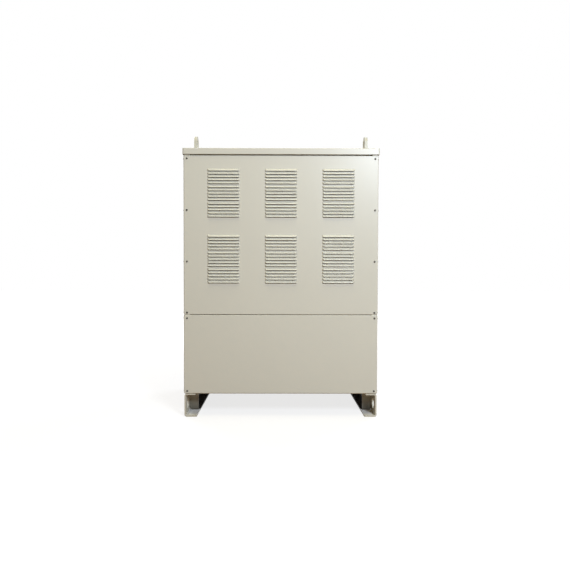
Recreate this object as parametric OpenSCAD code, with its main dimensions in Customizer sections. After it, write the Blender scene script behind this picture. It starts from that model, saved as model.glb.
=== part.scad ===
// Three-phase voltage stabilizer: a ventilated sheet-steel cabinet on two channel skids.
// The origin is on the floor, at the middle of the footprint. Z is up and the front faces -Y.

/* [Cabinet] */
// Width over the side panels
cabinet_w = 830; // [800:10:1200]
// Depth over the front and rear panels
cabinet_d = 600; // [560:10:900]
// Height of the plain lower panels
lower_panel_h = 335; // [200:5:600]
// Height of the louvred upper panels
upper_panel_h = 677; // [660:1:900]
// Gap left between an upper and a lower panel
panel_seam = 2; // [1:0.5:6]
// Gap between the skids and the lower edge of the panels
panel_rise = 3.5; // [0.5:0.5:5]
// Thickness of the panel sheet
panel_t = 2; // [1:0.25:2.5]
// Depth of the upper and lower edges folded back behind a panel
fold_d = 14; // [8:1:20]
// Outer radius of those folds
fold_r = 3; // [2.75:0.25:5]
// Depth of the upright edges of the front and rear panels, folded back over the posts
edge_lip = 8; // [6:0.5:12]
// Outer radius of the upright folds
edge_r = 4.5; // [3:0.25:5.5]
// Gap between an upright edge and the side panel next to it
lip_gap = 1; // [0.5:0.5:3]
// Room between a folded edge and the post beside it
fold_room = 2; // [1:0.5:5]

/* [Frame] */
// Side of the square frame tube
tube_side = 25; // [20:1:40]
// Wall of the frame tube
tube_wall = 2; // [1.5:0.25:3]
// Outer corner radius of the frame tube
tube_r = 3.5; // [3.25:0.25:6]
// Least room between a middle or top rail and the folded edge beside it
rail_room = 0.5; // [0.5:0.5:5]
// Thickness of the floor plate
floor_t = 3; // [2:0.5:6]
// Room round the floor plate
floor_room = 1; // [0.5:0.5:3]

/* [Cover] */
// How far the cover reaches out past the panels on every side
cover_reach = 4; // [3:1:40]
// Depth of the lip folded down round the cover
cover_lip = 26; // [20:1:60]
// Ventilation gap between the upper panels and the lip, wider where a deep top rail needs it
cover_gap = 4.5; // [3:0.5:20]
// Thickness of the cover sheet
cover_t = 2; // [1:0.25:3]
// Outer radius of the cover's upper edges
cover_edge_r = 3; // [3:0.25:6]
// Outer radius of the cover's upright corners
cover_corner_r = 7; // [5:0.5:12]

/* [Louvres] */
// Banks side by side on the front and rear
wide_columns = 3; // [1:1:3]
// Banks side by side on each side panel
side_columns = 2; // [1:1:2]
// Distance between the centres of neighbouring banks
column_pitch = 244.5; // [180:0.5:245]
// Rows of banks, one above the other
bank_rows = 2; // [1:1:2]
// Distance from one row of banks down to the next
bank_pitch = 280; // [240:1:300]
// Distance from the top edge of the panel to the lip of the first louvre
bank_drop = 66; // [40:1:90]
// Groups of louvres in a bank
louvre_groups = 3; // [1:1:3]
// Louvres in a group
group_count = 5; // [2:1:5]
// Distance from one louvre to the next in a group
louvre_pitch = 13.5; // [13:0.25:15]
// Extra distance between two groups
group_gap = 2.9; // [0:0.1:6]
// Length of a louvre over its closed ends
louvre_l = 138; // [60:1:160]
// Height of the bulged hood
hood_h = 8.5; // [7:0.25:8.5]
// How far the hood stands out from the panel
hood_out = 7; // [5:0.25:8]
// Radius of the bulge
hood_r = 12; // [9:0.5:30]
// Length of the slope at each closed end
hood_end = 6.5; // [3:0.5:12]
// Height of the open slot under the hood
slot_h = 2; // [1.5:0.25:4.5]

/* [Skids] */
// Height of the channel
skid_h = 100; // [80:5:160]
// Width of the channel's upper flange
skid_top_w = 46; // [36:1:52]
// Width of its lower flange, which is no narrower than the upper one
skid_foot_w = 52; // [52:1:80]
// Thickness of the plate that the channel is folded from
skid_t = 6; // [4:0.5:9]
// Outer radius of the channel's bends
skid_bend_r = 10; // [9.5:0.5:16]
// Diameter of the holes through the web
skid_hole_d = 42; // [20:1:50]
// Distance from the skid's end to the centre of its hole
skid_hole_inset = 54; // [30:1:65]
// Height of that centre
skid_hole_rise = 46; // [35:1:60]
// Thickness of the plates that stiffen the channel
gusset_t = 6; // [4:0.5:12]
// Distance from the skid's end to a plate
gusset_inset = 97; // [90:1:180]
// How far a plate stops short of the lower flange's edge
gusset_short = 6; // [2:0.5:10]
// Corner cut off a plate to clear the bend
gusset_snipe = 10; // [8:0.5:16]

/* [Lifting lugs] */
// Thickness of a lug
lug_t = 12; // [8:1:20]
// Width of a lug, which is also rounded off at the top
lug_w = 60; // [50:1:90]
// Diameter of the shackle hole
lug_hole_d = 30; // [16:1:36]
// Height of the shackle hole above the cover
lug_hole_rise = 56; // [35:1:80]
// Distance from the panel's face to the near edge of a lug
lug_inset = 120; // [60:1:140]
// Length of the lug below the top of the frame
lug_root = 45; // [25:1:100]
// Room round a lug in the cover's slot
lug_room = 1.5; // [0.5:0.25:4]

/* [Transformer] */
// Width of a limb of the laminated core
limb_w = 75; // [50:5:90]
// Depth of the stack of laminations
stack_d = 100; // [60:5:140]
// Height of each yoke
yoke_h = 75; // [50:5:100]
// Height of the windows between the yokes
window_h = 280; // [200:10:320]
// Distance between neighbouring phases
phase_pitch = 205; // [205:5:230]
// Height of the core above the floor plate
core_rise = 20; // [10:5:40]
// Width of a coil
coil_w = 188; // [150:2:190]
// Depth of a coil
coil_d = 200; // [170:5:260]
// Corner radius of a coil
coil_r = 45; // [20:5:60]
// Room between a coil and the core inside it
coil_room = 4; // [2:1:10]
// Room between a coil and the yokes
coil_end_room = 8; // [4:1:20]
// Width of the blocks that pack a coil off the yokes
block_w = 30; // [10:5:40]
// Depth of the packing blocks
block_d = 60; // [20:5:100]
// Leg of the angles that clamp the core
clamp_leg = 50; // [30:5:60]
// Thickness of the clamping angles
clamp_t = 5; // [4:1:8]
// How far the angles run past the core at each end
clamp_reach = 60; // [20:5:100]

/* [Regulators] */
// Thickness of the deck that the regulators stand on
deck_t = 4; // [3:1:8]
// Depth of the deck
deck_d = 230; // [205:5:300]
// Outer diameter of a ring winding
ring_d = 195; // [140:5:200]
// Hole in a ring winding
ring_bore = 80; // [50:5:100]
// Height of a ring winding
ring_h = 90; // [60:5:95]
// Corner radius of a ring winding
ring_r = 14; // [5:1:20]
// Gap between stacked windings, which holds a spacer
ring_gap = 14; // [8:1:20]
// Windings in a stack
ring_count = 4; // [1:1:4]
// Diameter of the spacers and of the spindle's bearings
hub_d = 110; // [90:5:120]
// Diameter of the spindle through a stack
spindle_d = 20; // [12:1:30]
// How far the spindle stands up above the top winding
spindle_rise = 25; // [10:5:40]

/* [Hidden] */
$fn = 96;
cut = 1;

frame_w = cabinet_w - 2 * panel_t;
frame_d = cabinet_d - 2 * panel_t;
panel_z = skid_h + panel_rise;
seam_z = panel_z + lower_panel_h;
upper_z = seam_z + panel_seam;
panel_top = upper_z + upper_panel_h;
cover_top = panel_top + max(cover_gap + cover_lip, rail_room + tube_side + cover_t);
cover_lip_z = cover_top - cover_lip;
frame_top = cover_top - cover_t;
base_top = skid_h + tube_side;
mid_rail_z = seam_z - panel_t - rail_room - tube_side;
top_rail_z = frame_top - tube_side;

group_h = (group_count - 1) * louvre_pitch;
group_step = group_h + louvre_pitch + group_gap;
chord = sqrt(hood_h * hood_h + hood_out * hood_out);
chord_gap = sqrt(hood_r * hood_r - chord * chord / 4);
hood_centre_y = -hood_out / 2 + chord_gap * hood_h / chord;
hood_centre_z = hood_h / 2 - chord_gap * hood_out / chord;
end_wall = panel_t * sqrt(hood_end * hood_end + hood_out * hood_out) / hood_out;

floor_top = base_top + floor_t;
core_z = floor_top + core_rise;
core_h = window_h + 2 * yoke_h;
core_w = 2 * phase_pitch + limb_w;
deck_z = core_z + core_h + clamp_t;
ring_step = ring_h + ring_gap;

lug_y = cabinet_d / 2 - lug_inset - lug_w / 2;
lug_x = frame_w / 2 - tube_side - lug_t;
lug_hole_z = cover_top + lug_hole_rise;

// A profile drawn as (depth, height) becomes a bar along X, centred.
module along_x(length) {
    rotate([90, 0, 90])
        linear_extrude(length, center = true)
            children();
}

// A profile drawn as (width, height) becomes a bar along Y, centred.
module along_y(length) {
    rotate([90, 0, 0])
        linear_extrude(length, center = true)
            children();
}

// A rectangle with its four corners rounded.
module rounded_rect(w, h, r) {
    square([w - 2 * r, h], center = true);
    square([w, h - 2 * r], center = true);
    for (x = [-1, 1], y = [-1, 1])
        translate([x * (w / 2 - r), y * (h / 2 - r)])
            circle(r);
}

// A block from (y, z) with the two corners on its front rounded.
module soft_block(y, z, depth, height, r) {
    translate([y + r, z])
        square([depth - r, height]);
    translate([y, z + r])
        square([2 * r, height - 2 * r]);
    for (corner_z = [z + r, z + height - r])
        translate([y + r, corner_z])
            circle(r);
}

// Places its children in one of the four corners: right and rear are 1, left and front are -1.
module corner(right, rear) {
    mirror([right < 0 ? 1 : 0, 0, 0])
        mirror([0, rear < 0 ? 1 : 0, 0])
            children();
}

// ---- Skids -------------------------------------------------------------------------------

// A channel folded from plate, as (width, height), with its web on the right and the narrower
// flange on top.
module channel_section() {
    mirror([1, 0])
        difference() {
            soft_block(0, 0, skid_foot_w, skid_h, skid_bend_r);
            soft_block(skid_t, skid_t, skid_foot_w, skid_h - 2 * skid_t, skid_bend_r - skid_t);
            translate([skid_top_w, skid_h / 2])
                square([skid_foot_w, skid_h]);
        }
}

module skid(right) {
    color("#b9b6a6")
        corner(right, 1)
            difference() {
                translate([frame_w / 2, 0, 0])
                    along_y(frame_d)
                        channel_section();
                for (end = [-1, 1])
                    translate([frame_w / 2, end * (frame_d / 2 - skid_hole_inset), skid_hole_rise])
                        rotate([0, 90, 0])
                            cylinder(h = 4 * skid_t, d = skid_hole_d, center = true);
            }
}

// A plate across the inside of the channel, its outer corners cut off to clear the bends.
module gusset(right, rear) {
    w = skid_foot_w - skid_t - gusset_short;
    low = skid_t;
    high = skid_h - skid_t;
    color("#8f8c7e")
        corner(right, rear)
            translate([frame_w / 2 - skid_t, frame_d / 2 - gusset_inset - gusset_t / 2, 0])
                along_y(gusset_t)
                    polygon([
                        [-w, low],
                        [-gusset_snipe, low],
                        [0, low + gusset_snipe],
                        [0, high - gusset_snipe],
                        [-gusset_snipe, high],
                        [-w, high]
                    ]);
}

// ---- Frame -------------------------------------------------------------------------------

// The section of the square tube, centred.
module tube_section() {
    difference() {
        rounded_rect(tube_side, tube_side, tube_r);
        rounded_rect(tube_side - 2 * tube_wall, tube_side - 2 * tube_wall, tube_r - tube_wall);
    }
}

// A rail between two posts across the front or rear, with its underside at height z.
module cross_rail(rear, z) {
    color("#c9c6b6")
        translate([0, rear * (frame_d - tube_side) / 2, z + tube_side / 2])
            along_x(frame_w - 2 * tube_side)
                tube_section();
}

// A rail across the skids, its ends ground round to stand flush under the posts.
module base_rail(rear) {
    color("#c9c6b6")
        intersection() {
            translate([0, rear * (frame_d - tube_side) / 2, skid_h + tube_side / 2])
                along_x(frame_w)
                    tube_section();
            translate([0, 0, skid_h])
                linear_extrude(tube_side)
                    rounded_rect(frame_w, frame_d, tube_r);
        }
}

// A rail along one side, between the posts or between the cross rails.
module side_rail(right, z) {
    color("#c9c6b6")
        translate([right * (frame_w - tube_side) / 2, 0, z + tube_side / 2])
            along_y(frame_d - 2 * tube_side)
                tube_section();
}

module post(right, rear) {
    color("#c9c6b6")
        translate([right * (frame_w - tube_side) / 2, rear * (frame_d - tube_side) / 2, base_top])
            linear_extrude(frame_top - base_top)
                tube_section();
}

// The plate that carries the transformers, cut out round the posts.
module floor_plate() {
    post_cut = tube_side + floor_room;
    color("#a5a294")
        difference() {
            translate([0, 0, base_top + floor_t / 2])
                cube([frame_w - 2 * floor_room, frame_d - 2 * floor_room, floor_t], center = true);
            for (x = [-1, 1], y = [-1, 1])
                translate([x * frame_w / 2, y * frame_d / 2, base_top])
                    cube([2 * post_cut, 2 * post_cut, 3 * floor_t], center = true);
        }
}

// ---- Transformer and regulators ------------------------------------------------------------

// Three limbs and two yokes of stacked laminations, seen as (width, height) and standing upright.
module transformer_core() {
    color("#6b6a66")
        translate([0, 0, core_z])
            along_y(stack_d)
                difference() {
                    translate([-core_w / 2, 0])
                        square([core_w, core_h]);
                    for (side = [-1, 1])
                        translate([side * phase_pitch / 2 - (phase_pitch - limb_w) / 2, yoke_h])
                            square([phase_pitch - limb_w, window_h]);
                }
}

// One winding on each limb, with room all round it, packed off the yokes by blocks at both ends.
module transformer_coils() {
    coil_h = window_h - 2 * coil_end_room;
    block_x = limb_w / 2 + coil_room + block_w / 2;
    color("#7a4a2a")
        for (phase = [-1, 0, 1])
            translate([phase * phase_pitch, 0, core_z + yoke_h]) {
                translate([0, 0, coil_end_room])
                    linear_extrude(coil_h)
                        difference() {
                            rounded_rect(coil_w, coil_d, coil_r);
                            square([limb_w + 2 * coil_room, stack_d + 2 * coil_room], center = true);
                        }
                for (side = [-1, 1], z = [coil_end_room / 2, window_h - coil_end_room / 2])
                    translate([side * block_x, 0, z])
                        cube([block_w, block_d, coil_end_room], center = true);
            }
}

// The section of the angle behind the core, its upright leg against the laminations.
module clamp_section(up) {
    square([clamp_t, clamp_leg + core_rise]);
    translate([0, up ? clamp_leg + core_rise - clamp_t : 0])
        square([clamp_leg, clamp_t]);
}

// Four angles hold the yokes. The lower pair stands on the floor plate, the upper pair carries
// the deck.
module core_clamps() {
    top_z = deck_z - clamp_leg - core_rise;
    color("#55585a")
        for (side = [0, 1])
            mirror([0, side, 0])
                translate([0, stack_d / 2, 0]) {
                    translate([0, 0, floor_top])
                        along_x(core_w + 2 * clamp_reach)
                            clamp_section(false);
                    translate([0, 0, top_z])
                        along_x(core_w + 2 * clamp_reach)
                            clamp_section(true);
                }
}

module regulator_deck() {
    color("#8d8f8c")
        translate([0, 0, deck_z + deck_t / 2])
            cube([core_w + 2 * clamp_reach, deck_d, deck_t], center = true);
}

// A stack of ring windings on one spindle, as half of its section from the axis outwards.
module stack_section() {
    for (i = [0 : ring_count - 1])
        translate([0, ring_gap + i * ring_step]) {
            translate([ring_bore / 2 + (ring_d - ring_bore) / 4, ring_h / 2])
                rounded_rect((ring_d - ring_bore) / 2, ring_h, ring_r);
            translate([0, -ring_gap])
                square([hub_d / 2, ring_gap]);
        }
    square([spindle_d / 2, ring_count * ring_step + spindle_rise]);
}

module regulator_windings() {
    color("#8a5a35")
        for (phase = [-1, 0, 1])
            translate([phase * phase_pitch, 0, deck_z + deck_t])
                rotate_extrude()
                    stack_section();
}

// ---- Panels ------------------------------------------------------------------------------

// The section of a panel as (depth, height): its top edge is folded back, and its lower edge too
// when low_fold is true.
module panel_section(h, low_fold) {
    spare = low_fold ? 0 : 3 * fold_r;
    difference() {
        soft_block(0, -spare, fold_d, h + spare, fold_r);
        soft_block(panel_t, panel_t - spare, 2 * fold_d, h + spare - 2 * panel_t, fold_r - panel_t);
        if (!low_fold)
            translate([-cut, -2 * spare])
                square([2 * fold_d, 2 * spare]);
    }
}

// Width of a panel: the front and rear ones, which are wide, reach round the corners and the side
// ones fit between them.
function sheet_w(wide) = wide ? cabinet_w : cabinet_d - 2 * (edge_lip + lip_gap);

// Length of the upper and lower folds, which stop short of the posts.
function fold_run(wide) = (wide ? frame_w : frame_d) - 2 * (tube_side + fold_room);

// A block seen from above, its front right corner at the origin and rounded.
module soft_corner(w, d, r) {
    translate([-w, r])
        square([w, d - r]);
    translate([-w, 0])
        square([w - r, d]);
    translate([-r, r])
        circle(r);
}

// The upright fold at the right edge of a wide panel, seen from above.
module edge_section() {
    difference() {
        soft_corner(2 * edge_r, edge_lip, edge_r);
        translate([-panel_t, panel_t])
            soft_corner(3 * edge_r, 2 * edge_lip, edge_r - panel_t);
    }
}

// A folded sheet, face at y = 0. Where its folds meet, the corners are relieved.
module folded_sheet(wide, h, low_fold) {
    w = sheet_w(wide);
    notch = (w - fold_run(wide)) / 2;
    edge_z = low_fold ? fold_r : 0;
    difference() {
        along_x(wide ? w - 2 * edge_r : w)
            panel_section(h, low_fold);
        for (x = [-1, 1])
            translate([x * w / 2, panel_t + fold_d, h / 2])
                cube([2 * notch, 2 * fold_d, h + 2 * cut], center = true);
    }
    if (wide)
        for (side = [0, 1])
            mirror([side, 0, 0])
                translate([w / 2, 0, edge_z])
                    linear_extrude(h - fold_r - edge_z)
                        edge_section();
}

// Heights of the louvre lips below the panel's top edge.
function lip_drops() = [
    for (row = [0 : bank_rows - 1], group = [0 : louvre_groups - 1], i = [0 : group_count - 1])
        bank_drop + row * bank_pitch + group * group_step + i * louvre_pitch
];

// One hood's bulge as (depth, height), with its lip at height 0.
module hood_section() {
    intersection() {
        translate([hood_centre_y, hood_centre_z])
            circle(hood_r);
        translate([-hood_out - cut, 0])
            square([hood_out + cut + panel_t / 2, hood_h + cut]);
    }
}

// The hollow behind one hood, and the slot under its lip that opens it.
module slot_section() {
    intersection() {
        translate([hood_centre_y, hood_centre_z])
            circle(hood_r - panel_t);
        translate([-hood_out, 0])
            square([hood_out + panel_t + cut, hood_h + cut]);
    }
    translate([-hood_out / 2, -slot_h])
        square([hood_out / 2 + panel_t + cut, slot_h + cut / 2]);
}

// Upright blocks, one for each column of banks, with sloped ends: inset is the wall of the ends.
module bank_columns(columns, h, inset) {
    half = louvre_l / 2 - inset;
    deep = hood_out + cut;
    slope = hood_end * deep / hood_out;
    for (i = [0 : columns - 1])
        translate([(i - (columns - 1) / 2) * column_pitch, 0, 0])
            linear_extrude(h)
                polygon([
                    [-half, panel_t + 2 * cut],
                    [-half, 0],
                    [-half + slope, -deep],
                    [half - slope, -deep],
                    [half, 0],
                    [half, panel_t + 2 * cut]
                ]);
}

// A row of louvre shapes for every column of banks, each cut to length by the sloped ends.
module louvre_array(wide, h, inset) {
    columns = wide ? wide_columns : side_columns;
    intersection() {
        along_x(sheet_w(wide) - 4 * tube_side)
            for (drop = lip_drops())
                translate([0, h - drop])
                    children();
        bank_columns(columns, h, inset);
    }
}

// A louvred panel: the hoods are pressed out of the sheet and are open below.
module louvred_sheet(wide, h) {
    difference() {
        union() {
            folded_sheet(wide, h, true);
            louvre_array(wide, h, 0)
                hood_section();
        }
        louvre_array(wide, h, end_wall)
            slot_section();
    }
}

// Stands a panel on one face of the frame: turn is 0 for the front, then counter-clockwise.
module on_face(turn, z) {
    reach = turn % 180 == 0 ? cabinet_d / 2 : cabinet_w / 2;
    rotate([0, 0, turn])
        translate([0, -reach, z])
            children();
}

module upper_panel(turn) {
    color("#cdcbbc")
        on_face(turn, upper_z)
            louvred_sheet(turn % 180 == 0, upper_panel_h);
}

module lower_panel(turn) {
    color("#cdcbbc")
        on_face(turn, panel_z)
            folded_sheet(turn % 180 == 0, lower_panel_h, false);
}

// ---- Cover -------------------------------------------------------------------------------

// A tray of w by d, h tall, with its top edges and upright corners rounded; long is what its
// sides run on below, so that one tray can hollow out another.
module tray_block(w, d, h, edge_r, corner_r, long) {
    intersection() {
        translate([0, 0, -long])
            linear_extrude(h + long)
                rounded_rect(w, d, corner_r);
        along_x(w + 2 * cut)
            tray_section(d, h, edge_r, long);
        along_y(d + 2 * cut)
            tray_section(w, h, edge_r, long);
    }
}

// A block of width w whose two upper corners are rounded.
module tray_section(w, h, r, long) {
    translate([-w / 2, -long])
        square([w, h + long - r]);
    translate([-w / 2 + r, h - 2 * r])
        square([w - 2 * r, 2 * r]);
    for (x = [-1, 1])
        translate([x * (w / 2 - r), h - r])
            circle(r);
}

module top_cover() {
    w = cabinet_w + 2 * cover_reach;
    d = cabinet_d + 2 * cover_reach;
    color("#cfcdbe")
        difference() {
            translate([0, 0, cover_lip_z])
                tray_block(w, d, cover_lip, cover_edge_r, cover_corner_r, 0);
            translate([0, 0, cover_lip_z])
                tray_block(w - 2 * cover_t, d - 2 * cover_t, cover_lip - cover_t,
                    cover_edge_r - cover_t, cover_corner_r - cover_t, cut);
            for (x = [-1, 1], y = [-1, 1])
                translate([x * (lug_x + lug_t / 2), y * lug_y, cover_top])
                    cube([lug_t + 2 * lug_room, lug_w + 2 * lug_room, 4 * cover_t], center = true);
        }
}

// ---- Lifting lugs ------------------------------------------------------------------------

// A plate welded inside the side rail, standing up through the cover, with a shackle hole.
module lug(right, rear) {
    foot_z = frame_top - lug_root;
    color("#bfbcac")
        corner(right, rear)
            translate([lug_x + lug_t / 2, lug_y, 0])
                along_x(lug_t)
                    difference() {
                        union() {
                            translate([-lug_w / 2, foot_z])
                                square([lug_w, lug_hole_z - foot_z]);
                            translate([0, lug_hole_z])
                                circle(d = lug_w);
                        }
                        translate([0, lug_hole_z])
                            circle(d = lug_hole_d);
                    }
}

skid(-1);  // left_skid
skid(1);  // right_skid
gusset(-1, -1);  // front_left_gusset
gusset(1, -1);  // front_right_gusset
gusset(-1, 1);  // rear_left_gusset
gusset(1, 1);  // rear_right_gusset
base_rail(-1);  // front_base_rail
base_rail(1);  // rear_base_rail
side_rail(-1, skid_h);  // left_base_rail
side_rail(1, skid_h);  // right_base_rail
floor_plate();
transformer_core();
transformer_coils();
core_clamps();
regulator_deck();
regulator_windings();
post(-1, -1);  // front_left_post
post(1, -1);  // front_right_post
post(-1, 1);  // rear_left_post
post(1, 1);  // rear_right_post
cross_rail(-1, mid_rail_z);  // front_mid_rail
cross_rail(1, mid_rail_z);  // rear_mid_rail
side_rail(-1, mid_rail_z);  // left_mid_rail
side_rail(1, mid_rail_z);  // right_mid_rail
cross_rail(-1, top_rail_z);  // front_top_rail
cross_rail(1, top_rail_z);  // rear_top_rail
side_rail(-1, top_rail_z);  // left_top_rail
side_rail(1, top_rail_z);  // right_top_rail
upper_panel(0);  // front_upper_panel
upper_panel(180);  // rear_upper_panel
upper_panel(270);  // left_upper_panel
upper_panel(90);  // right_upper_panel
lower_panel(0);  // front_lower_panel
lower_panel(180);  // rear_lower_panel
lower_panel(270);  // left_lower_panel
lower_panel(90);  // right_lower_panel
top_cover();
lug(-1, -1);  // front_left_lug
lug(1, -1);  // front_right_lug
lug(-1, 1);  // rear_left_lug
lug(1, 1);  // rear_right_lug
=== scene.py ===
import math

import bmesh
import bpy
from mathutils import Matrix, Vector


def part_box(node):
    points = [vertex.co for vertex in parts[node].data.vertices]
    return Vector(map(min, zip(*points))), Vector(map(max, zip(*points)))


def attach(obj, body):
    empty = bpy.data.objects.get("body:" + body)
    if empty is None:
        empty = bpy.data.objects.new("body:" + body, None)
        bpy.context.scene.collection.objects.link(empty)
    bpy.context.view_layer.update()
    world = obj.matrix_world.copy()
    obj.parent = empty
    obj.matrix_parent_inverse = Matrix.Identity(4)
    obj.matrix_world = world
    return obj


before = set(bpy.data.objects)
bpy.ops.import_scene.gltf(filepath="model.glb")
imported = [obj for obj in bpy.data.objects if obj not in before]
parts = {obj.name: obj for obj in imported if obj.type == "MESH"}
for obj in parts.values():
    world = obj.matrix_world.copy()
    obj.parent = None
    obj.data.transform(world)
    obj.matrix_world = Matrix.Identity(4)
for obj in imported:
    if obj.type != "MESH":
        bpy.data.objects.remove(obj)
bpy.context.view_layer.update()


# ---- Skids -------------------------------------------------------------------------------
# Two channels folded from 6 mm steel plate carry the cabinet front to back, webs outwards. A
# hole through each web near both ends takes a lifting bar. They are sprayed with enamel. Behind
# the end plates, painted shade darkens the insides of the channels; in front of them, painted
# light makes the lower flanges paler.

MM = 0.001
SKID_BEIGE = "#C9C6B6"
SKID_BEIGE_THIN = "#BFBBA9"
# painted shade, laid inside the channels behind the end plates
SHADE_BEHIND_PLATES = "#2A241B"
# painted light, laid on the lower flanges in front of the end plates
FLANGE_LIGHT = "#EFEEEB"
SKID_PLATE = 6 * MM
WEB_SKIN = 1 * MM          # the coat of the outer face goes this deep into an edge or hole
SHADE_RAMP = 15 * MM      # how far in past an end plate the painted shade takes to reach its darkest
FLANGE_LIGHT_HEIGHT = 4 * MM       # how far up the web from a flange the painted light still reaches
FLANGE_LIGHT_AT_END = 0.3          # what is left of the painted light at the open end of a channel
COAT_PATCH = 240 * MM
SHEET_WAVE = 330 * MM
ORANGE_PEEL = 6 * MM       # real peel has a 2 mm ripple, drawn coarser so that it shows
PEEL_HEIGHT = 0.03 * MM
SHEEN_RANGE = 0.04         # how much rougher or smoother a coat is in places


def linear(hex_colour):
    """An sRGB hex colour as linear red, green, blue and alpha."""
    shares = [int(hex_colour[i:i + 2], 16) / 255 for i in (1, 3, 5)]
    return [s / 12.92 if s <= 0.04045 else ((s + 0.055) / 1.055) ** 2.4 for s in shares] + [1.0]


def add_node(tree, kind, inputs=None, **settings):
    """Adds a node: settings are its properties, inputs are values or the sockets to link."""
    made = tree.nodes.new(kind)
    for name, value in settings.items():
        setattr(made, name, value)
    for name, value in (inputs or {}).items():
        if isinstance(value, bpy.types.NodeSocket):
            tree.links.new(value, made.inputs[name])
        else:
            made.inputs[name].default_value = value
    return made


def new_material(name):
    """An empty node material with its tree, its output and its place in the object's space."""
    material = bpy.data.materials.new(name)
    material.use_nodes = True
    tree = material.node_tree
    tree.nodes.clear()
    output = add_node(tree, "ShaderNodeOutputMaterial")
    place = add_node(tree, "ShaderNodeTexCoord").outputs["Object"]
    return material, tree, output, place


def sprayed_coat(name, colour, thin_colour, roughness, wave_height):
    """Paint or baked powder on sheet: a satin colour that is a little thinner in broad soft
    patches, with the slow wave of a flat sheet (wave_height) and the ripple of orange peel."""
    material, tree, output, place = new_material(name)
    patches = add_node(tree, "ShaderNodeTexNoise",
        {"Vector": place, "Scale": 1 / COAT_PATCH, "Detail": 3.0})
    coat = add_node(tree, "ShaderNodeMix",
        {"Factor": patches.outputs["Fac"], 6: linear(thin_colour), 7: linear(colour)},
        data_type="RGBA")
    sheen = add_node(tree, "ShaderNodeMapRange",
        {"Value": patches.outputs["Fac"], "To Min": roughness - SHEEN_RANGE,
         "To Max": roughness + SHEEN_RANGE})
    wave = add_node(tree, "ShaderNodeTexNoise",
        {"Vector": place, "Scale": 1 / SHEET_WAVE, "Detail": 0.0})
    flatness = add_node(tree, "ShaderNodeBump",
        {"Height": wave.outputs["Fac"], "Distance": wave_height})
    peel = add_node(tree, "ShaderNodeTexNoise",
        {"Vector": place, "Scale": 1 / ORANGE_PEEL, "Detail": 2.0, "Roughness": 0.4})
    relief = add_node(tree, "ShaderNodeBump",
        {"Height": peel.outputs["Fac"], "Distance": PEEL_HEIGHT,
         "Normal": flatness.outputs["Normal"]})
    shader = add_node(tree, "ShaderNodeBsdfPrincipled",
        {"Base Color": coat.outputs[2], "Roughness": sheen.outputs["Result"], "IOR": 1.5,
         "Normal": relief.outputs["Normal"]})
    tree.links.new(shader.outputs["BSDF"], output.inputs["Surface"])
    return material


def finish(names, material):
    """Gives CAD nodes a material in place of the plain one they came with."""
    for name in names:
        for slot in parts[name].material_slots:
            slot.material = material


def lay_over(material, share, colour):
    """Lays another colour over a material's own, as far as share says."""
    tree = material.node_tree
    shader = tree.nodes["Principled BSDF"]
    below = shader.inputs["Base Color"].links[0].from_socket
    both = add_node(tree, "ShaderNodeMix",
        {"Factor": share, 6: below, 7: linear(colour)}, data_type="RGBA")
    tree.links.new(both.outputs[2], shader.inputs["Base Color"])


skid_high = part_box("right_skid")[1]
plate_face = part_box("rear_right_gusset")[0].y
skid_enamel = sprayed_coat("skid_enamel", SKID_BEIGE, SKID_BEIGE_THIN, roughness=0.46,
                           wave_height=0.3 * MM)
tree = skid_enamel.node_tree
axes = add_node(tree, "ShaderNodeSeparateXYZ",
    {"Vector": add_node(tree, "ShaderNodeTexCoord").outputs["Object"]})
across, along = [add_node(tree, "ShaderNodeMath", {0: axes.outputs[axis]},
    operation="ABSOLUTE").outputs["Value"] for axis in "XY"]
height = axes.outputs["Z"]

# The limits of a painted mark of shade or light: a direction, from where to where along it,
# and the mark's share at each.
in_the_channel = (across, skid_high.x - WEB_SKIN, skid_high.x - SKID_PLATE / 2, 0.0, 1.0)
# Painted shade: the inside of each channel is dark behind its end plates, where it lies in shade.
painted_shade_behind_plates = (
    in_the_channel,
    (along, plate_face, plate_face - SHADE_RAMP, 0.0, 1.0))
# Painted light: the lower flanges are paler in front of the end plates, most at the plates and
# less toward the open ends.
painted_light_on_flanges = (
    in_the_channel,
    (along, plate_face - 1 * MM, plate_face, 0.0, 1.0),
    (along, plate_face, skid_high.y, 1.0, FLANGE_LIGHT_AT_END),
    (height, SKID_PLATE - 1 * MM, SKID_PLATE - 0.5 * MM, 0.0, 1.0),
    (height, SKID_PLATE + FLANGE_LIGHT_HEIGHT, SKID_PLATE + 0.5 * MM, 0.0, 1.0))
for limits, colour in ((painted_shade_behind_plates, SHADE_BEHIND_PLATES), (painted_light_on_flanges, FLANGE_LIGHT)):
    film = 1.0
    for direction, start, end, at_start, at_end in limits:
        share = add_node(tree, "ShaderNodeMapRange",
            {"Value": direction, "From Min": start, "From Max": end, "To Min": at_start,
             "To Max": at_end})
        film = add_node(tree, "ShaderNodeMath", {0: film, 1: share.outputs["Result"]},
            operation="MULTIPLY").outputs["Value"]
    lay_over(skid_enamel, film, colour)
finish(["left_skid", "right_skid"], skid_enamel)


# ---- Gussets and their welds -------------------------------------------------------------
# A 6 mm plate stands across each channel near both ends, to stiffen it where it is lifted.
# It is welded to the web and both flanges, and brushed with the same enamel, which is thin
# there; painted shade darkens it toward the foot.

GUSSET_BEIGE = "#CDC6B2"
GUSSET_BEIGE_THIN = "#BFB8A4"
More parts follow.
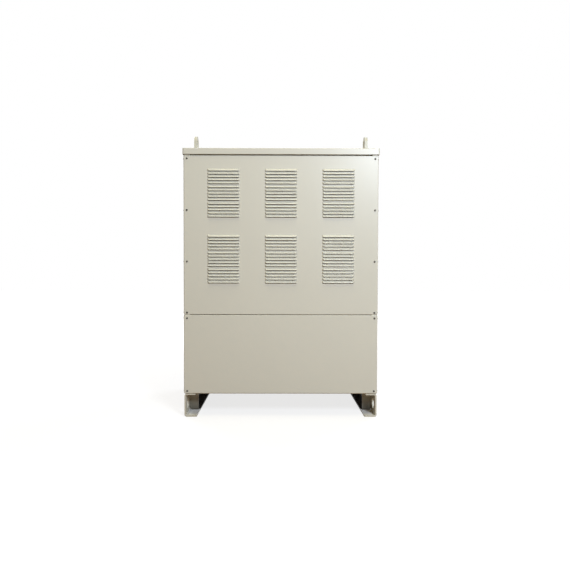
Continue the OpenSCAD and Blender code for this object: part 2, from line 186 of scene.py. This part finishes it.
# the colour of the painted shade at a plate's foot
FOOT_SHADE = "#544F43"
FOOT_SHADE_TOP = 12 * MM         # below this the painted shade is at its darkest
BEAD_LEG = 4.5 * MM
BEAD_RIPPLE = 3.6 * MM
STEPS_A_RIPPLE = 5
RIPPLE_DEPTH = 0.16        # how much thinner the bead is between two ripples
BEAD_FLATNESS = 0.16       # how much flatter its face is than a quarter round
BEAD_START = 0.55          # how big it is at its very ends
BEAD_ANGLES = [math.radians(a) for a in (0, 22, 45, 68, 90)]
SNIPE = 10 * MM            # the corners of a plate are cut off by this, clear of the bends


def close_skin(mesh, rings):
    """Joins each ring of vertices to the next with faces, and closes both ends."""
    for low, high in zip(rings, rings[1:]):
        for i in range(len(low)):
            nxt = (i + 1) % len(low)
            mesh.faces.new((low[i], low[nxt], high[nxt], high[i]))
    mesh.faces.new(rings[0][::-1])
    mesh.faces.new(rings[-1])


def weld_bead(mesh, start, end, first_side, second_side):
    """Adds a fillet weld from start to end, in the corner between two sides. Each side is the
    direction in which its plate runs away from the corner."""
    run = end - start
    steps = round(run.length / BEAD_RIPPLE * STEPS_A_RIPPLE)
    rings = []
    for i in range(steps + 1):
        ripple = abs(math.sin(math.pi * i / STEPS_A_RIPPLE))
        from_end = min(i, steps - i) / STEPS_A_RIPPLE
        size = (BEAD_LEG * (1 - RIPPLE_DEPTH * (1 - ripple))
                * (BEAD_START + (1 - BEAD_START) * min(1.0, from_end)))
        middle = start + run * (i / steps)
        ring = [mesh.verts.new(middle)]
        for angle in BEAD_ANGLES:
            crown = 1 - BEAD_FLATNESS * math.sin(2 * angle)
            towards = first_side * math.cos(angle) + second_side * math.sin(angle)
            ring.append(mesh.verts.new(middle + towards * size * crown))
        rings.append(ring)
    close_skin(mesh, rings)


def add_piece(name, mesh, material, smooth_angle):
    """Makes a piece of the object from a bmesh, rides it on the cabinet and gives its finish."""
    bmesh.ops.recalc_face_normals(mesh, faces=mesh.faces)
    data = bpy.data.meshes.new(name)
    mesh.to_mesh(data)
    mesh.free()
    data.materials.append(material)
    data.shade_smooth()
    data.set_sharp_from_angle(angle=math.radians(smooth_angle))
    piece = bpy.data.objects.new(name, data)
    bpy.context.scene.collection.objects.link(piece)
    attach(piece, "root")


gusset_enamel = sprayed_coat("gusset_enamel", GUSSET_BEIGE, GUSSET_BEIGE_THIN, roughness=0.5,
                             wave_height=0.1 * MM)
gusset_names = [name for name in parts if name.endswith("_gusset")]
tree = gusset_enamel.node_tree
axes = add_node(tree, "ShaderNodeSeparateXYZ",
    {"Vector": add_node(tree, "ShaderNodeTexCoord").outputs["Object"]})
# Painted shade: the plate is darkened toward its foot, where shade falls under the cabinet.
foot_shade_share = add_node(tree, "ShaderNodeMapRange",
    {"Value": axes.outputs["Z"], "From Min": skid_high.z, "From Max": FOOT_SHADE_TOP})
lay_over(gusset_enamel, foot_shade_share.outputs["Result"], FOOT_SHADE)
finish(gusset_names, gusset_enamel)

UP = Vector((0, 0, 1))
for name in gusset_names:
    low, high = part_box(name)
    outward = 1 if high.x > 0 else -1
    web_x = high.x if outward > 0 else low.x
    lip_x = low.x if outward > 0 else high.x
    inward = Vector((-outward, 0, 0))
    welds = bmesh.new()
    for face_y, away in ((low.y, Vector((0, -1, 0))), (high.y, Vector((0, 1, 0)))):
        weld_bead(welds, Vector((web_x, face_y, low.z + SNIPE)),
                  Vector((web_x, face_y, high.z - SNIPE)), inward, away)
        for z, rise in ((low.z, UP), (high.z, -UP)):
            weld_bead(welds, Vector((web_x - outward * SNIPE, face_y, z)),
                      Vector((lip_x, face_y, z)), rise, away)
    add_piece(name + "_welds", welds, gusset_enamel, smooth_angle=50)


# ---- Frame of square tube ----------------------------------------------------------------
# Posts and rails of 25 mm square steel tube, welded into a box that stands on the skids and
# is sprayed with enamel. The floor plate lies on the base rails.

FRAME_BEIGE = "#C6C3B2"
FRAME_BEIGE_THIN = "#BBB7A5"
FLOOR_BEIGE = "#AAA797"
FLOOR_BEIGE_THIN = "#9C9887"

frame_names = [name for name in parts if name.endswith("_rail") or name.endswith("_post")]
frame_enamel = sprayed_coat("frame_enamel", FRAME_BEIGE, FRAME_BEIGE_THIN, roughness=0.45,
                            wave_height=0.1 * MM)
finish(frame_names, frame_enamel)
floor_enamel = sprayed_coat("floor_plate_enamel", FLOOR_BEIGE, FLOOR_BEIGE_THIN,
                            roughness=0.55, wave_height=0.4 * MM)
finish(["floor_plate"], floor_enamel)


# ---- Transformer core and clamps ---------------------------------------------------------
# The core is a stack of silicon steel sheets, varnished dark, whose edges show as fine lines
# on its top and ends. Angles in dull dark primer clamp it and carry the regulators' deck.

CORE_VARNISH = "#4A4641"
CORE_EDGE = "#6E675C"
SHEET_PITCH = 2 * MM       # real sheets are 0.5 mm thick, drawn coarser so that they show
SHEET_STEP = 0.15 * MM
PRIMER_GREY = "#43474A"
PRIMER_GREY_THIN = "#3A3D3F"

core_steel, tree, output, place = new_material("varnished_silicon_steel")
axes = add_node(tree, "ShaderNodeSeparateXYZ", {"Vector": place})
turns = add_node(tree, "ShaderNodeMath",
    {0: axes.outputs["Y"], 1: 2 * math.pi / SHEET_PITCH}, operation="MULTIPLY")
sheets = add_node(tree, "ShaderNodeMath", {0: turns.outputs["Value"]}, operation="SINE")
shade = add_node(tree, "ShaderNodeMapRange",
    {"Value": sheets.outputs["Value"], "From Min": -1.0, "From Max": 1.0})
varnish = add_node(tree, "ShaderNodeMix",
    {"Factor": shade.outputs["Result"], 6: linear(CORE_VARNISH), 7: linear(CORE_EDGE)},
    data_type="RGBA")
relief = add_node(tree, "ShaderNodeBump",
    {"Height": shade.outputs["Result"], "Distance": SHEET_STEP})
shader = add_node(tree, "ShaderNodeBsdfPrincipled",
    {"Base Color": varnish.outputs[2], "Roughness": 0.45, "Metallic": 0.4,
     "Normal": relief.outputs["Normal"]})
tree.links.new(shader.outputs["BSDF"], output.inputs["Surface"])
finish(["transformer_core"], core_steel)

primer = sprayed_coat("dark_primer", PRIMER_GREY, PRIMER_GREY_THIN, roughness=0.6,
                      wave_height=0.1 * MM)
finish(["core_clamps", "regulator_deck"], primer)


# ---- Transformer coils -------------------------------------------------------------------
# Each coil is copper strip wound on a former, taped all round with woven glass tape, half
# lapped, and dipped in amber varnish: brown, fairly glossy, ribbed by the laps of the tape.

TAPE_BROWN = "#7A4722"
TAPE_DARK = "#54301A"
LAP = 10 * MM
LAP_STEP = 0.4 * MM
THREAD = 3 * MM            # real threads are 0.7 mm apart, drawn coarser so that they show
THREAD_STEP = 0.05 * MM
VARNISH_RUN = 40 * MM

coil_tape, tree, output, place = new_material("varnished_glass_tape")
axes = add_node(tree, "ShaderNodeSeparateXYZ", {"Vector": place})
laps = add_node(tree, "ShaderNodeMath",
    {0: axes.outputs["Z"], 1: 1 / LAP}, operation="MULTIPLY")
across_lap = add_node(tree, "ShaderNodeMath", {0: laps.outputs["Value"]}, operation="FRACT")
threads = add_node(tree, "ShaderNodeTexChecker", {"Vector": place, "Scale": 1 / THREAD})
soak = add_node(tree, "ShaderNodeTexNoise",
    {"Vector": place, "Scale": 1 / VARNISH_RUN, "Detail": 3.0})
amber = add_node(tree, "ShaderNodeMix",
    {"Factor": soak.outputs["Fac"], 6: linear(TAPE_DARK), 7: linear(TAPE_BROWN)},
    data_type="RGBA")
lap_edge = add_node(tree, "ShaderNodeBump",
    {"Height": across_lap.outputs["Value"], "Distance": LAP_STEP})
weave = add_node(tree, "ShaderNodeBump",
    {"Height": threads.outputs["Fac"], "Distance": THREAD_STEP,
     "Normal": lap_edge.outputs["Normal"]})
shader = add_node(tree, "ShaderNodeBsdfPrincipled",
    {"Base Color": amber.outputs[2], "Roughness": 0.38, "IOR": 1.52, "Coat Weight": 0.4,
     "Coat Roughness": 0.2, "Normal": weave.outputs["Normal"]})
tree.links.new(shader.outputs["BSDF"], output.inputs["Surface"])
finish(["transformer_coils"], coil_tape)


# ---- Regulator ring windings -------------------------------------------------------------
# Each ring is a core wound with one layer of enamelled copper wire, turn beside turn, so that
# glossy wires stand upright round it. Bearings and a spindle of dark steel fill its middle.

COPPER_ENAMEL = "#A4552B"
# painted shade, in the grooves between the turns of wire
COPPER_GROOVE_SHADE = "#6E3316"
BEARING_GREY = "#5B5C5E"
WIRES_A_RING = 150         # real wire is 2.2 mm thick, drawn about twice as coarse to show
WIRE_RELIEF = 0.8 * MM
BEARING_SHARE = 0.29       # the bearings' radius, as a share of a ring's diameter

rings_low, rings_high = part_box("regulator_windings")
ring_d = rings_high.y - rings_low.y
stack_pitch = (rings_high.x - rings_low.x - ring_d) / 2
bearing_r = BEARING_SHARE * ring_d

copper, tree, output, place = new_material("enamelled_copper_wire")
axes = add_node(tree, "ShaderNodeSeparateXYZ", {"Vector": place})
half_a_pitch = add_node(tree, "ShaderNodeMath",
    {0: axes.outputs["X"], 1: stack_pitch / 2}, operation="ADD")
nearest_stack = add_node(tree, "ShaderNodeMath",
    {0: half_a_pitch.outputs["Value"], 1: stack_pitch}, operation="SNAP")
from_axis = add_node(tree, "ShaderNodeMath",
    {0: axes.outputs["X"], 1: nearest_stack.outputs["Value"]}, operation="SUBTRACT")
angle = add_node(tree, "ShaderNodeMath",
    {0: axes.outputs["Y"], 1: from_axis.outputs["Value"]}, operation="ARCTAN2")
wire_turns = add_node(tree, "ShaderNodeMath",
    {0: angle.outputs["Value"], 1: WIRES_A_RING}, operation="MULTIPLY")
wires = add_node(tree, "ShaderNodeMath", {0: wire_turns.outputs["Value"]}, operation="SINE")
round_wires = add_node(tree, "ShaderNodeMapRange",
    {"Value": wires.outputs["Value"], "From Min": -1.0, "From Max": 1.0})
# Painted shade: the copper is dark in the grooves between the turns and lightest on their crowns.
wire_colour = add_node(tree, "ShaderNodeMix",
    {"Factor": round_wires.outputs["Result"], 6: linear(COPPER_GROOVE_SHADE),
     7: linear(COPPER_ENAMEL)}, data_type="RGBA")
flat_place = add_node(tree, "ShaderNodeCombineXYZ",
    {"X": from_axis.outputs["Value"], "Y": axes.outputs["Y"]})
radius = add_node(tree, "ShaderNodeVectorMath",
    {0: flat_place.outputs["Vector"]}, operation="LENGTH")
is_wire = add_node(tree, "ShaderNodeMath",
    {0: radius.outputs["Value"], 1: bearing_r}, operation="GREATER_THAN")
surface_colour = add_node(tree, "ShaderNodeMix",
    {"Factor": is_wire.outputs["Value"], 6: linear(BEARING_GREY), 7: wire_colour.outputs[2]},
    data_type="RGBA")
relief = add_node(tree, "ShaderNodeBump",
    {"Height": round_wires.outputs["Result"], "Distance": WIRE_RELIEF})
shader = add_node(tree, "ShaderNodeBsdfPrincipled",
    {"Base Color": surface_colour.outputs[2], "Roughness": 0.32, "IOR": 1.55,
     "Normal": relief.outputs["Normal"]})
tree.links.new(shader.outputs["BSDF"], output.inputs["Surface"])
finish(["regulator_windings"], copper)


# ---- Lifting lugs ------------------------------------------------------------------------
# Four flame-cut plates, welded inside the side rails, stand up through slots in the cover.
# They are sprayed with the frame, and their cut edges keep fine upright drag lines.

DRAG_LINE = 1.5 * MM
DRAG_STEP = 0.05 * MM
DRAG_UPRIGHT = 0.02        # the lines run on upright, fifty times as long as they are wide
LUG_PATCH = 60 * MM

lug_enamel, tree, output, place = new_material("lug_enamel_over_flame_cut")
cut_place = add_node(tree, "ShaderNodeMapping",
    {"Vector": place, "Scale": (1.0, 1.0, DRAG_UPRIGHT)})
drag_lines = add_node(tree, "ShaderNodeTexNoise",
    {"Vector": cut_place.outputs["Vector"], "Scale": 1 / DRAG_LINE, "Detail": 1.0})
patches = add_node(tree, "ShaderNodeTexNoise", {"Vector": place, "Scale": 1 / LUG_PATCH})
coat = add_node(tree, "ShaderNodeMix",
    {"Factor": patches.outputs["Fac"], 6: linear(FRAME_BEIGE_THIN), 7: linear(FRAME_BEIGE)},
    data_type="RGBA")
relief = add_node(tree, "ShaderNodeBump",
    {"Height": drag_lines.outputs["Fac"], "Distance": DRAG_STEP})
shader = add_node(tree, "ShaderNodeBsdfPrincipled",
    {"Base Color": coat.outputs[2], "Roughness": 0.45, "IOR": 1.5,
     "Normal": relief.outputs["Normal"]})
tree.links.new(shader.outputs["BSDF"], output.inputs["Surface"])
finish([name for name in parts if name.endswith("_lug")], lug_enamel)


# ---- Folded sheet panels -----------------------------------------------------------------
# Eight panels of 2 mm steel sheet close the four sides, plain below and louvred above. They
# are punched, folded and coated with polyester powder, which bakes to an even, half glossy
# warm grey.

PANEL_BEIGE = "#CFCDBE"
PANEL_BEIGE_THIN = "#CCCABB"
POWDER_ROUGHNESS = 0.33

powder_coat = sprayed_coat("polyester_powder_coat", PANEL_BEIGE, PANEL_BEIGE_THIN,
                           POWDER_ROUGHNESS, wave_height=0.3 * MM)
panel_names = [name for name in parts if name.endswith("_panel")]
finish(panel_names, powder_coat)


# ---- Panel screws ------------------------------------------------------------------------
# Small pan-head screws with a cross recess hold each panel to the posts, four down each edge
# of an upper panel and two on a lower one. They are steel with zinc plate, which has gone
# dull and a little blotchy.

ZINC_GREY = "#6F6B62"
ZINC_DARK = "#403D38"
SPANGLE = 1.5 * MM
HEAD_PROFILE = [(radius * MM, height * MM) for radius, height in (
    (4.25, 0.0), (4.25, 0.9), (4.0, 1.6), (3.3, 2.2), (2.2, 2.55), (1.1, 2.65))]
HEAD_SIDES = 24
RECESS_DEPTH = 1.5 * MM
RECESS_LENGTH = 5.2 * MM
RECESS_WIDTH = 1.1 * MM
RECESS_FOOT = 0.45         # how long the cross still is at its foot
RECESS_DRAFT = 0.2         # how much of that taper its width takes
RECESS_TURN = math.radians(20)
SCREW_BELOW_TOP = 13.5 * MM
SCREW_ABOVE_FOOT = 8.5 * MM
SCREW_ROWS = {"upper": 4, "lower": 2}

zinc, tree, output, place = new_material("dull_zinc_plate")
spangle = add_node(tree, "ShaderNodeTexNoise", {"Vector": place, "Scale": 1 / SPANGLE})
tone = add_node(tree, "ShaderNodeMix",
    {"Factor": spangle.outputs["Fac"], 6: linear(ZINC_DARK), 7: linear(ZINC_GREY)},
    data_type="RGBA")
dull = add_node(tree, "ShaderNodeMapRange",
    {"Value": spangle.outputs["Fac"], "To Min": 0.32, "To Max": 0.5})
shader = add_node(tree, "ShaderNodeBsdfPrincipled",
    {"Base Color": tone.outputs[2], "Roughness": dull.outputs["Result"], "Metallic": 1.0})
tree.links.new(shader.outputs["BSDF"], output.inputs["Surface"])


def turned_head():
    """The head before its recess is pressed: a lathe profile round Z, closed on both ends."""
    mesh = bmesh.new()
    corners = [2 * math.pi * i / HEAD_SIDES for i in range(HEAD_SIDES)]
    rings = [[mesh.verts.new((radius * math.cos(a), radius * math.sin(a), height))
              for a in corners] for radius, height in HEAD_PROFILE]
    close_skin(mesh, rings)
    return mesh


def recess_wing(turn):
    """One bar of the cross, narrower at its foot, as a closed cutter."""
    mesh = bmesh.new()
    top_z = HEAD_PROFILE[-1][1]
    rings = []
    for z, share in ((top_z - RECESS_DEPTH, RECESS_FOOT), (top_z + RECESS_DEPTH, 2 - RECESS_FOOT)):
        half_l = RECESS_LENGTH / 2 * share
        half_w = RECESS_WIDTH / 2 * (1 - RECESS_DRAFT * (1 - share))
        rings.append([mesh.verts.new((x * half_l, y * half_w, z))
                      for x, y in ((-1, -1), (1, -1), (1, 1), (-1, 1))])
    close_skin(mesh, rings)
    bmesh.ops.rotate(mesh, verts=mesh.verts, matrix=Matrix.Rotation(turn, 3, "Z"))
    return mesh


def workpiece(mesh):
    """A bmesh as an object that is only worked with and then removed."""
    data = bpy.data.meshes.new("work")
    mesh.to_mesh(data)
    mesh.free()
    work = bpy.data.objects.new("work", data)
    bpy.context.scene.collection.objects.link(work)
    return work


head = workpiece(turned_head())
wings = [workpiece(recess_wing(RECESS_TURN + quarter)) for quarter in (0, math.pi / 2)]
for wing in wings:
    press = head.modifiers.new("recess", "BOOLEAN")
    press.operation = "DIFFERENCE"
    press.solver = "EXACT"
    press.object = wing
screw_mesh = bpy.data.meshes.new_from_object(
    head.evaluated_get(bpy.context.evaluated_depsgraph_get()))
for work in [head] + wings:
    bpy.data.objects.remove(work)

OUTWARD = {"front": Vector((0, -1, 0)), "rear": Vector((0, 1, 0)),
           "left": Vector((-1, 0, 0)), "right": Vector((1, 0, 0))}
post_low, post_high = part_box("front_right_post")
post_middle = (post_low + post_high) / 2
for name in panel_names:
    side, level, _ = name.split("_")
    outward = OUTWARD[side]
    face_low, face_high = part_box(f"{side}_lower_panel")
    low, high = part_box(name)
    along = UP.cross(outward)
    reach = max(face_low.dot(outward), face_high.dot(outward))
    spread = abs(post_middle.dot(along))
    rows = SCREW_ROWS[level]
    top_z = high.z - SCREW_BELOW_TOP
    foot_z = low.z + SCREW_ABOVE_FOOT
    turn_out = Matrix((along, UP, outward)).transposed().to_4x4()
    screws = bmesh.new()
    for row in range(rows):
        z = foot_z + (top_z - foot_z) * row / (rows - 1)
        for hand in (-1, 1):
            seat = outward * reach + along * (hand * spread) + UP * z
            copy = screw_mesh.copy()
            copy.transform(Matrix.Translation(seat) @ turn_out)
            screws.from_mesh(copy)
            bpy.data.meshes.remove(copy)
    add_piece(name + "_screws", screws, zinc, smooth_angle=35)
bpy.data.meshes.remove(screw_mesh)


# ---- Cover -------------------------------------------------------------------------------
# The roof is one sheet folded down all round into a lip, its corners welded and ground
# round. It has the panels' coat, and its flat top has caught a thin film of dust.

ROOF_DUST = "#B9B3A2"
DUST_DRIFT = 35 * MM
DUST_COVER = 0.6           # how much of the coat the film hides where it lies thickest
DUST_ROUGHNESS = 0.85
DUST_FULL = 0.1 * MM       # the film thins out at the bends, from this depth below the top
DUST_EDGE = 0.4 * MM       # down to this one
ROOF_WAVE = 0.5 * MM

cover_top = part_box("top_cover")[1].z
cover_coat, tree, output, place = new_material("dusty_powder_coat")
patches = add_node(tree, "ShaderNodeTexNoise",
    {"Vector": place, "Scale": 1 / COAT_PATCH, "Detail": 3.0})
coat = add_node(tree, "ShaderNodeMix",
    {"Factor": patches.outputs["Fac"], 6: linear(PANEL_BEIGE_THIN), 7: linear(PANEL_BEIGE)},
    data_type="RGBA")
axes = add_node(tree, "ShaderNodeSeparateXYZ", {"Vector": place})
on_top = add_node(tree, "ShaderNodeMapRange",
    {"Value": axes.outputs["Z"], "From Min": cover_top - DUST_EDGE,
     "From Max": cover_top - DUST_FULL, "To Max": DUST_COVER})
drift = add_node(tree, "ShaderNodeTexNoise",
    {"Vector": place, "Scale": 1 / DUST_DRIFT, "Detail": 5.0, "Roughness": 0.65})
film = add_node(tree, "ShaderNodeMath",
    {0: on_top.outputs["Result"], 1: drift.outputs["Fac"]}, operation="MULTIPLY")
dusty = add_node(tree, "ShaderNodeMix",
    {"Factor": film.outputs["Value"], 6: coat.outputs[2], 7: linear(ROOF_DUST)},
    data_type="RGBA")
dull = add_node(tree, "ShaderNodeMapRange",
    {"Value": film.outputs["Value"], "To Min": POWDER_ROUGHNESS, "To Max": DUST_ROUGHNESS})
wave = add_node(tree, "ShaderNodeTexNoise",
    {"Vector": place, "Scale": 1 / SHEET_WAVE, "Detail": 0.0})
relief = add_node(tree, "ShaderNodeBump",
    {"Height": wave.outputs["Fac"], "Distance": ROOF_WAVE})
shader = add_node(tree, "ShaderNodeBsdfPrincipled",
    {"Base Color": dusty.outputs[2], "Roughness": dull.outputs["Result"], "IOR": 1.5,
     "Normal": relief.outputs["Normal"]})
tree.links.new(shader.outputs["BSDF"], output.inputs["Surface"])
finish(["top_cover"], cover_coat)


# ---- Studio floor and backdrop -----------------------------------------------------------
# A matt floor keeps the cabinet's shadow and runs out into a white backdrop, which is the
# world. Both look white themselves, but light the cabinet only with a dim, warm bounce.

FLOOR_HALF = 14.0          # metres, as are the two below, which count from the middle
FADE_START = 1.1
FADE_END = 2.6
FLOOR_SHADE = "#8C8B89"
FLOOR_BOUNCE = "#9A7C5C"
FLOOR_GLOW = 0.78          # how far toward white it shines of itself, close to the cabinet
WHITE = (1, 1, 1, 1)

floor_mesh = bpy.data.meshes.new("studio_floor")
floor_mesh.from_pydata([(x * FLOOR_HALF, y * FLOOR_HALF, 0) for x, y in
                        ((-1, -1), (1, -1), (1, 1), (-1, 1))], [], [(0, 1, 2, 3)])
floor = bpy.data.objects.new("studio_floor", floor_mesh)
bpy.context.scene.collection.objects.link(floor)


def seen_directly(tree):
    """1 for the rays that show the studio itself: straight, mirrored or through glass."""
    rays = add_node(tree, "ShaderNodeLightPath")
    seen_or_glossy = add_node(tree, "ShaderNodeMath",
        {0: rays.outputs["Is Camera Ray"], 1: rays.outputs["Is Glossy Ray"]}, operation="MAXIMUM")
    return add_node(tree, "ShaderNodeMath",
        {0: seen_or_glossy.outputs["Value"], 1: rays.outputs["Is Transmission Ray"]},
        operation="MAXIMUM").outputs["Value"]


floor_paint, tree, output, place = new_material("matt_studio_floor")
seen = seen_directly(tree)
floor_colour = add_node(tree, "ShaderNodeMix",
    {"Factor": seen, 6: linear(FLOOR_BOUNCE), 7: linear(FLOOR_SHADE)}, data_type="RGBA")
matt = add_node(tree, "ShaderNodeBsdfDiffuse", {"Color": floor_colour.outputs[2]})
from_cabinet = add_node(tree, "ShaderNodeVectorMath", {0: place}, operation="LENGTH")
whiteness = add_node(tree, "ShaderNodeMapRange",
    {"Value": from_cabinet.outputs["Value"], "From Min": FADE_START, "From Max": FADE_END,
     "To Min": FLOOR_GLOW, "To Max": 1.0}, interpolation_type="SMOOTHSTEP")
strength = add_node(tree, "ShaderNodeMath", {0: seen, 1: whiteness.outputs["Result"]},
    operation="MULTIPLY")
glow = add_node(tree, "ShaderNodeEmission",
    {"Color": WHITE, "Strength": strength.outputs["Value"]})
lit = add_node(tree, "ShaderNodeAddShader",
    {0: matt.outputs["BSDF"], 1: glow.outputs["Emission"]})
tree.links.new(lit.outputs["Shader"], output.inputs["Surface"])
floor_mesh.materials.append(floor_paint)

WORLD_LIGHT = 0.17
WORLD_BOUNCE = "#FFE2B4"

world = bpy.data.worlds.new("studio_world")
world.use_nodes = True
tree = world.node_tree
tree.nodes.clear()
seen = seen_directly(tree)
glow = add_node(tree, "ShaderNodeMapRange",
    {"Value": seen, "To Min": WORLD_LIGHT, "To Max": 1.0})
tint = add_node(tree, "ShaderNodeMix",
    {"Factor": seen, 6: linear(WORLD_BOUNCE), 7: WHITE}, data_type="RGBA")
sky = add_node(tree, "ShaderNodeBackground",
    {"Color": tint.outputs[2], "Strength": glow.outputs["Result"]})
add_node(tree, "ShaderNodeOutputWorld", {"Surface": sky.outputs["Background"]})
bpy.context.scene.world = world


# ---- Lamps -------------------------------------------------------------------------------
# A cool key lamp from the upper right leaves its glare on the upper right of the front. A
# broad warm one overhead lights the louvre hoods, and two more fill the rear and the sides.

AIM = Vector((0, -0.2, 0.65))


def add_lamp(name, watts, size, distance, azimuth, elevation, colour):
    """A square soft lamp that shines on the cabinet from this azimuth (0 is the front, 90 the
    right)."""
    lamp = bpy.data.lights.new(name, "AREA")
    lamp.energy = watts
    lamp.size = size
    lamp.color = linear(colour)[:3]
    round_by, up_by = math.radians(azimuth), math.radians(elevation)
    towards = Vector((math.sin(round_by) * math.cos(up_by),
                      -math.cos(round_by) * math.cos(up_by), math.sin(up_by)))
    holder = bpy.data.objects.new(name, lamp)
    holder.location = AIM + towards * distance
    holder.rotation_euler = towards.to_track_quat("Z", "Y").to_euler()
    bpy.context.scene.collection.objects.link(holder)


add_lamp("key_lamp", watts=110, size=0.8, distance=3.6, azimuth=24, elevation=24,
         colour="#E4EFFF")
add_lamp("top_lamp", watts=80, size=2.0, distance=4.5, azimuth=5, elevation=72,
         colour="#FFF6D0")
for side, azimuth in (("left", 220), ("right", 140)):
    add_lamp(f"rear_{side}_lamp", watts=76, size=1.6, distance=4.2, azimuth=azimuth,
             elevation=44, colour="#E6EEFF")


# ---- Camera ------------------------------------------------------------------------------
# It stands nearly square to the front, 2.2 m before the panels and half way up the cabinet,
# and is tilted, turned and rolled a little, as a camera held by hand.

TILT_DOWN = math.radians(1.417)
TURN_RIGHT = math.radians(0.256)
ROLL = math.radians(0.124)

camera_data = bpy.data.cameras.new("camera")
camera_data.sensor_width = 36.0
camera_data.lens = 32.55
camera_data.shift_x = 0.00996
camera_data.clip_end = 60.0
camera = bpy.data.objects.new("camera", camera_data)
camera.location = (-0.0165, -2.5, 0.6218)
camera.rotation_euler = (math.pi / 2 - TILT_DOWN, -ROLL, -TURN_RIGHT)
bpy.context.scene.collection.objects.link(camera)
bpy.context.scene.camera = camera
bpy.context.scene.view_settings.view_transform = "Standard"
